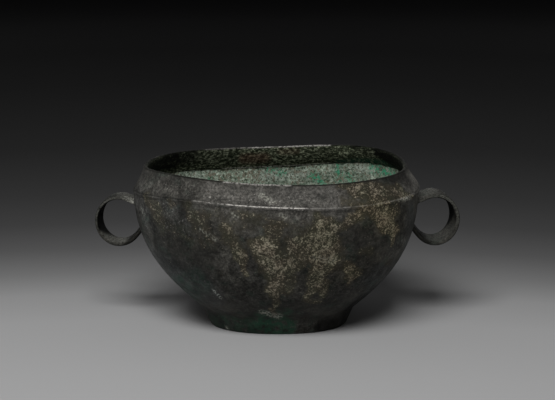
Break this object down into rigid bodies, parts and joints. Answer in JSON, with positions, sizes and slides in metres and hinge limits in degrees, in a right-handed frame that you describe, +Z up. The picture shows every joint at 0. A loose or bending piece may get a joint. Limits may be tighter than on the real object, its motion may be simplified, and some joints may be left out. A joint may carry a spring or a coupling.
{
  "type": "bronze dish",
  "caption": "Deep oval bronze dish on a low hollow foot, with a shoulder, a neck that leans in, and a strap ring handle at each end.",
  "frame": {"origin": "on the surface that the foot stands on, midway between the outer sides of the two handles and between the front and back of the shoulder", "axes": "+X along the oval to the right handle, +Y to the back of the dish, +Z up"},
  "size_m": [0.1814, 0.1134, 0.0831],
  "materials": {
    "aged_bronze": "ancient cast bronze, dark grey-brown and matt, with tan mineral crust in patches outside, pale green patina inside and dark green on the foot"
  },
  "bodies": {
    "root": {"bronze_dish": "aged_bronze"}
  },
  "joints": []
}
